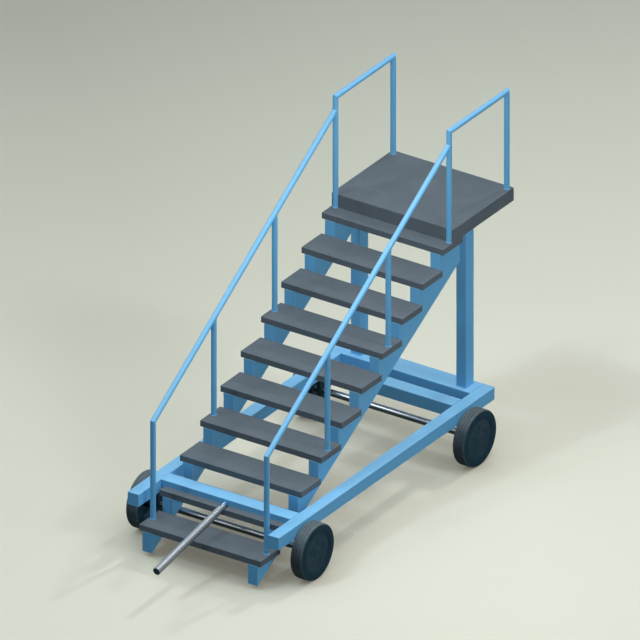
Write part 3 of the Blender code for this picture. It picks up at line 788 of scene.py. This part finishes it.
def build_tyre(node_name, rim_radius):
    low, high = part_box(node_name)
    middle = (low + high) / 2
    outer = (high.z - low.z) / 2
    half_width = (high.x - low.x) / 2
    top, seat = middle.z + outer, middle.z + rim_radius
    bpy.ops.object.select_all(action="DESELECT")
    bpy.ops.mesh.primitive_plane_add(
        size=1, location=(middle.x, middle.y, (top + seat) / 2), rotation=(math.pi / 2, 0, 0))
    piece = bpy.context.active_object
    piece.scale = (2 * half_width, top - seat, 1)
    bpy.ops.object.transform_apply(location=True, rotation=True, scale=True)
    bpy.ops.object.mode_set(mode="EDIT")
    bpy.context.tool_settings.mesh_select_mode = (True, False, False)

    grooves = [offset * GROOVE_SPACING for offset in (-1, 0, 1)]
    for groove in grooves:
        for side in (-1, 1):
            for reach in (GROOVE_HALF_WIDTH, GROOVE_HALF_WIDTH - GROOVE_SLOPE):
                bisect_all((middle.x + groove + side * reach, 0, 0), (1, 0, 0))
    reach = GROOVE_HALF_WIDTH - GROOVE_SLOPE
    floors = [middle.x + groove + side * reach for groove in grooves for side in (-1, 1)]
    select_points(piece, lambda co: is_near(co.z, top) and any(is_near(co.x, x) for x in floors))
    bpy.ops.transform.translate(value=(0, 0, -GROOVE_DEPTH))

    flange = seat + FLANGE_RISE
    for height in (flange, flange + FLANGE_RECESS):
        bisect_all((0, 0, height), (0, 0, 1))
    for side in (-1, 1):
        edge = middle.x + side * half_width
        select_points(piece, lambda co: is_near(co.x, edge) and co.z < flange + TOLERANCE)
        bpy.ops.transform.translate(value=(-side * FLANGE_RECESS, 0, 0))
    bpy.ops.mesh.select_all(action="SELECT")
    bpy.ops.mesh.dissolve_faces()
    select_points(
        piece, lambda co: is_near(co.z, top) and is_near(abs(co.x - middle.x), half_width))
    bpy.ops.mesh.bevel(offset=SHOULDER_RADIUS, segments=SHOULDER_STEPS, affect="VERTICES")
    select_points(piece, lambda co: is_near(co.z, seat))
    bpy.ops.mesh.bevel(offset=BEAD_CHAMFER - FLANGE_RECESS, segments=1, affect="VERTICES")

    bpy.ops.mesh.select_all(action="SELECT")
    bpy.ops.mesh.delete(type="ONLY_FACE")
    bpy.ops.mesh.select_all(action="SELECT")
    bpy.ops.mesh.spin(steps=TYRE_STEPS, angle=2 * math.pi, center=middle, axis=(1, 0, 0))
    bpy.ops.mesh.select_all(action="SELECT")
    bpy.ops.mesh.remove_doubles(threshold=TOLERANCE / 4)
    bpy.ops.mesh.normals_make_consistent(inside=False)

    mesh = bmesh.from_edit_mesh(piece.data)
    bpy.context.tool_settings.mesh_select_mode = (False, False, True)
    bpy.ops.mesh.select_all(action="DESELECT")
    for face in mesh.faces:
        centre = face.calc_center_median() - middle
        radius = math.hypot(centre.y, centre.z)
        field = round(math.atan2(centre.z, centre.y) / (2 * math.pi) * TYRE_STEPS - 0.5)
        on_rib = abs(centre.x) > NOTCH_FROM_MIDDLE and radius > outer - NOTCH_BELOW_TREAD
        face.select = on_rib and field % NOTCH_EVERY == 0
        face.material_index = int(radius > outer - TREAD_DEPTH)
    bmesh.update_edit_mesh(piece.data)
    bpy.ops.mesh.inset(thickness=NOTCH_DEPTH / 3, depth=-NOTCH_DEPTH)
    bpy.ops.object.mode_set(mode="OBJECT")
    for finish in (paints["tyre"], paints["tyre_tread"]):
        piece.data.materials.append(finish)
    bpy.ops.object.shade_smooth_by_angle(angle=SMALL_SMOOTH_ANGLE)
    return piece, middle


def placed_copy(pattern, name, place, turn=(0, 0, 0), size=1.0):
    """A copy with its own mesh, moved, turned and sized, all settled into the mesh."""
    copy = pattern.copy()
    copy.data = pattern.data.copy()
    copy.name = name
    bpy.context.scene.collection.objects.link(copy)
    copy.location = place
    copy.rotation_euler = turn
    copy.scale = (size,) * 3
    select_only(copy)
    bpy.ops.object.transform_apply(location=True, rotation=True, scale=True)
    return copy


tyre_names = [name for name, slot in slots.items() if slot == "tyre"]
wheel_low, wheel_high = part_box(tyre_names[0].replace("tyre", "wheel"))
pattern, pattern_middle = build_tyre(tyre_names[0], (wheel_high.z - wheel_low.z) / 2)
for name in tyre_names:
    middle = sum(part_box(name), Vector()) / 2
    tyre = placed_copy(pattern, "grooved_" + name, middle - pattern_middle)
    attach(tyre, frame["nodes"][name]["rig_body"])
    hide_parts(name)
print(f"{len(tyre_names)} tyres of {len(pattern.data.polygons)} faces")
bpy.data.objects.remove(pattern)

# %% [markdown]
# Nuts and bolts
#
# One hexagon head on its washer is modelled: a washer and a six-sided head, bevelled, with a
# shallow dish in its end. Five go round each hub, low enough to stay inside the rim, and four
# hold each axle hanger's flange to its rail.

# %% Nuts and bolts
HEAD_RADIUS = 0.0125
HEAD_HEIGHT = 0.0042
WASHER_RADIUS = 0.0160
WASHER_SIDES = 24
WASHER_HEIGHT = 0.0010
HEAD_CHAMFER = 0.0012
DISH_SHARE = 0.35
DISH_DEPTH = 0.0008
NUT_COUNT = 5
FIRST_NUT_ANGLE = math.pi / 2
NUT_CIRCLE_SHARE = 0.62
RIM_RECESS = 0.006
BOLT_SIZE = 0.85
BOLT_INSET = 0.014
FLANGE_THICKNESS = 0.012


def build_head():
    """A hexagon head on its washer, standing on the floor at the origin."""
    bpy.ops.object.select_all(action="DESELECT")
    bpy.ops.mesh.primitive_cylinder_add(
        vertices=WASHER_SIDES, radius=WASHER_RADIUS, depth=WASHER_HEIGHT,
        location=(0, 0, WASHER_HEIGHT / 2))
    washer = bpy.context.active_object
    apply_modifier(washer, "BEVEL", width=WASHER_HEIGHT / 3, segments=1, limit_method="ANGLE")
    bpy.ops.object.select_all(action="DESELECT")
    bpy.ops.mesh.primitive_cylinder_add(
        vertices=6, radius=HEAD_RADIUS, depth=HEAD_HEIGHT,
        location=(0, 0, WASHER_HEIGHT + HEAD_HEIGHT / 2))
    head = bpy.context.active_object
    apply_modifier(head, "BEVEL", width=HEAD_CHAMFER, segments=2, limit_method="ANGLE")
    bpy.ops.object.mode_set(mode="EDIT")
    mesh = bmesh.from_edit_mesh(head.data)
    bpy.context.tool_settings.mesh_select_mode = (False, False, True)
    bpy.ops.mesh.select_all(action="DESELECT")
    max(mesh.faces, key=lambda face: face.calc_center_median().z).select = True
    bmesh.update_edit_mesh(head.data)
    bpy.ops.mesh.inset(thickness=HEAD_RADIUS * DISH_SHARE)
    bpy.ops.mesh.inset(thickness=DISH_DEPTH, depth=-DISH_DEPTH)
    bpy.ops.object.mode_set(mode="OBJECT")
    select_only(head, washer)
    bpy.ops.object.join()
    bpy.ops.object.transform_apply(location=True, rotation=True, scale=True)
    head.data.materials.append(paints["dark_paint"])
    bpy.ops.object.shade_smooth_by_angle(angle=SMALL_SMOOTH_ANGLE)
    return head


def join_up(pieces, name, body):
    """One object of them all, which moves with the body."""
    select_only(*pieces)
    bpy.ops.object.join()
    joined = bpy.context.active_object
    joined.name = name
    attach(joined, body)
    return joined


head = build_head()
heads_placed = 0
for name in slots:
    low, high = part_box(name)
    middle = (low + high) / 2
    body = frame["nodes"][name]["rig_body"]
    if name.startswith("wheel"):
        side = math.copysign(1, middle.x)
        tyre_low, tyre_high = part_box(name.replace("wheel", "tyre"))
        face_x = side * (max(abs(tyre_low.x), abs(tyre_high.x)) - RIM_RECESS)
        circle = (high.z - low.z) / 2 * NUT_CIRCLE_SHARE
        copies = []
        for turn in range(NUT_COUNT):
            angle = FIRST_NUT_ANGLE + turn * 2 * math.pi / NUT_COUNT
            y = middle.y + circle * math.cos(angle)
            z = middle.z + circle * math.sin(angle)
            copies.append(placed_copy(head, "nut", (face_x, y, z), (0, side * math.pi / 2, 0)))
        join_up(copies, "nuts_" + name, body)
        heads_placed += len(copies)
    elif name.startswith("axle_hanger"):
        copies = []
        for x in (low.x + BOLT_INSET, high.x - BOLT_INSET):
            for y in (low.y + BOLT_INSET, high.y - BOLT_INSET):
                place = (x, y, high.z - FLANGE_THICKNESS)
                copies.append(placed_copy(head, "bolt", place, (math.pi, 0, 0), BOLT_SIZE))
        join_up(copies, "bolts_" + name, body)
        heads_placed += len(copies)
bpy.data.objects.remove(head)
print(f"{heads_placed} heads placed")

# %% [markdown]
# Weld beads
#
# The steelwork is welded, so a thin bead runs where its bars meet: a ring round the foot of each
# handrail post, a frame round both ends of each support post, and straight runs where the cross
# members and the rear beam meet the rails. A ring starts as a torus and a run as a six-sided
# cylinder with many rings. Every other ring is swollen a little, which leaves the overlapping
# scales of a weld, and the ends of a run taper.

# %% Weld beads
BEAD_RADIUS = 0.0028
BEAD_SIDES = 6
BEAD_STEP = 0.0035
BEAD_SWELL = 0.0004
BEAD_TAPER = 0.35
BEAD_SMOOTH_ANGLE = math.radians(60)
UPRIGHT = (0, 0, 0)
ALONG_X = (0, math.pi / 2, 0)
ALONG_Y = (math.pi / 2, 0, 0)


def finish_bead(piece):
    bpy.ops.object.mode_set(mode="OBJECT")
    piece.data.materials.append(paints["blue_paint"])
    bpy.ops.object.shade_smooth_by_angle(angle=BEAD_SMOOTH_ANGLE)
    return piece


def build_run(length):
    """A straight bead, centred on the origin and standing up."""
    bpy.ops.object.select_all(action="DESELECT")
    bpy.ops.mesh.primitive_cylinder_add(vertices=BEAD_SIDES, radius=BEAD_RADIUS, depth=length)
    piece = bpy.context.active_object
    rings = 2 * round(length / BEAD_STEP / 2)
    bpy.ops.object.mode_set(mode="EDIT")
    bpy.context.tool_settings.mesh_select_mode = (False, True, False)
    bpy.ops.mesh.select_all(action="DESELECT")
    mesh = bmesh.from_edit_mesh(piece.data)
    for edge in mesh.edges:
        edge.select = abs(edge.verts[0].co.z - edge.verts[1].co.z) > length / 2
    bmesh.update_edit_mesh(piece.data)
    bpy.ops.mesh.subdivide(number_cuts=rings - 1)
    bpy.context.tool_settings.mesh_select_mode = (True, False, False)
    select_points(piece, lambda co: round((co.z / length + 0.5) * rings) % 2 == 1)
    bpy.ops.transform.shrink_fatten(value=BEAD_SWELL)
    for end in (-length / 2, length / 2):
        select_points(piece, lambda co: is_near(co.z, end))
        bpy.ops.transform.resize(value=(BEAD_TAPER, BEAD_TAPER, 1))
    return finish_bead(piece)


def build_ring(radius):
    """A round bead that lies on the floor round the origin."""
    steps = 2 * round(math.pi * radius / BEAD_STEP)
    bpy.ops.object.select_all(action="DESELECT")
    bpy.ops.mesh.primitive_torus_add(
        major_radius=radius, minor_radius=BEAD_RADIUS,
        major_segments=steps, minor_segments=BEAD_SIDES)
    piece = bpy.context.active_object
    bpy.ops.object.mode_set(mode="EDIT")
    bpy.context.tool_settings.mesh_select_mode = (True, False, False)
    select_points(piece, lambda co: round(math.atan2(co.y, co.x) / (2 * math.pi) * steps) % 2 == 1)
    bpy.ops.transform.shrink_fatten(value=BEAD_SWELL)
    return finish_bead(piece)


runs_by_length = {}


def place_run(place, turn, length):
    """A copy of the run of that length, which is modelled when it is first asked for."""
    key = round(length, 4)
    if key not in runs_by_length:
        runs_by_length[key] = build_run(length)
    return placed_copy(runs_by_length[key], "bead", place, turn)


def frame_round(low, high, height):
    """Four runs round the foot or the head of an upright box-section bar."""
    middle = (low + high) / 2
    size = high - low
    pair_x = [place_run((middle.x, y, height), ALONG_X, size.x) for y in (low.y, high.y)]
    pair_y = [place_run((x, middle.y, height), ALONG_Y, size.y) for x in (low.x, high.x)]
    return pair_x + pair_y


chassis = frame["nodes"]["platform"]["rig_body"]
rail_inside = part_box("side_rail_right")[0].x
seams = []
for name in ("front_cross_member", "rear_cross_member", "rear_beam"):
    low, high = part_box(name)
    middle = (low + high) / 2
    for x in (-rail_inside, rail_inside):
        seams.append(place_run((x, middle.y, high.z), ALONG_Y, high.y - low.y))
        for y in (low.y, high.y):
            seams.append(place_run((x, y, middle.z), UPRIGHT, high.z - low.z))
for name in ("support_post_left", "support_post_right"):
    low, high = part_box(name)
    for height in (low.z, high.z):
        seams += frame_round(low, high, height)
join_up(seams, "weld_beads_of_the_steelwork", chassis)

posts = [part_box(name) for name in slots if name.startswith("post_")]
ring = build_ring((posts[0][1].x - posts[0][0].x) / 2)
feet = []
for low, high in posts:
    middle = (low + high) / 2
    feet.append(placed_copy(ring, "bead", (middle.x, middle.y, low.z)))
join_up(feet, "weld_beads_of_the_posts", chassis)
for pattern in (ring, *runs_by_length.values()):
    bpy.data.objects.remove(pattern)
print(f"{len(seams)} runs and {len(feet)} rings")
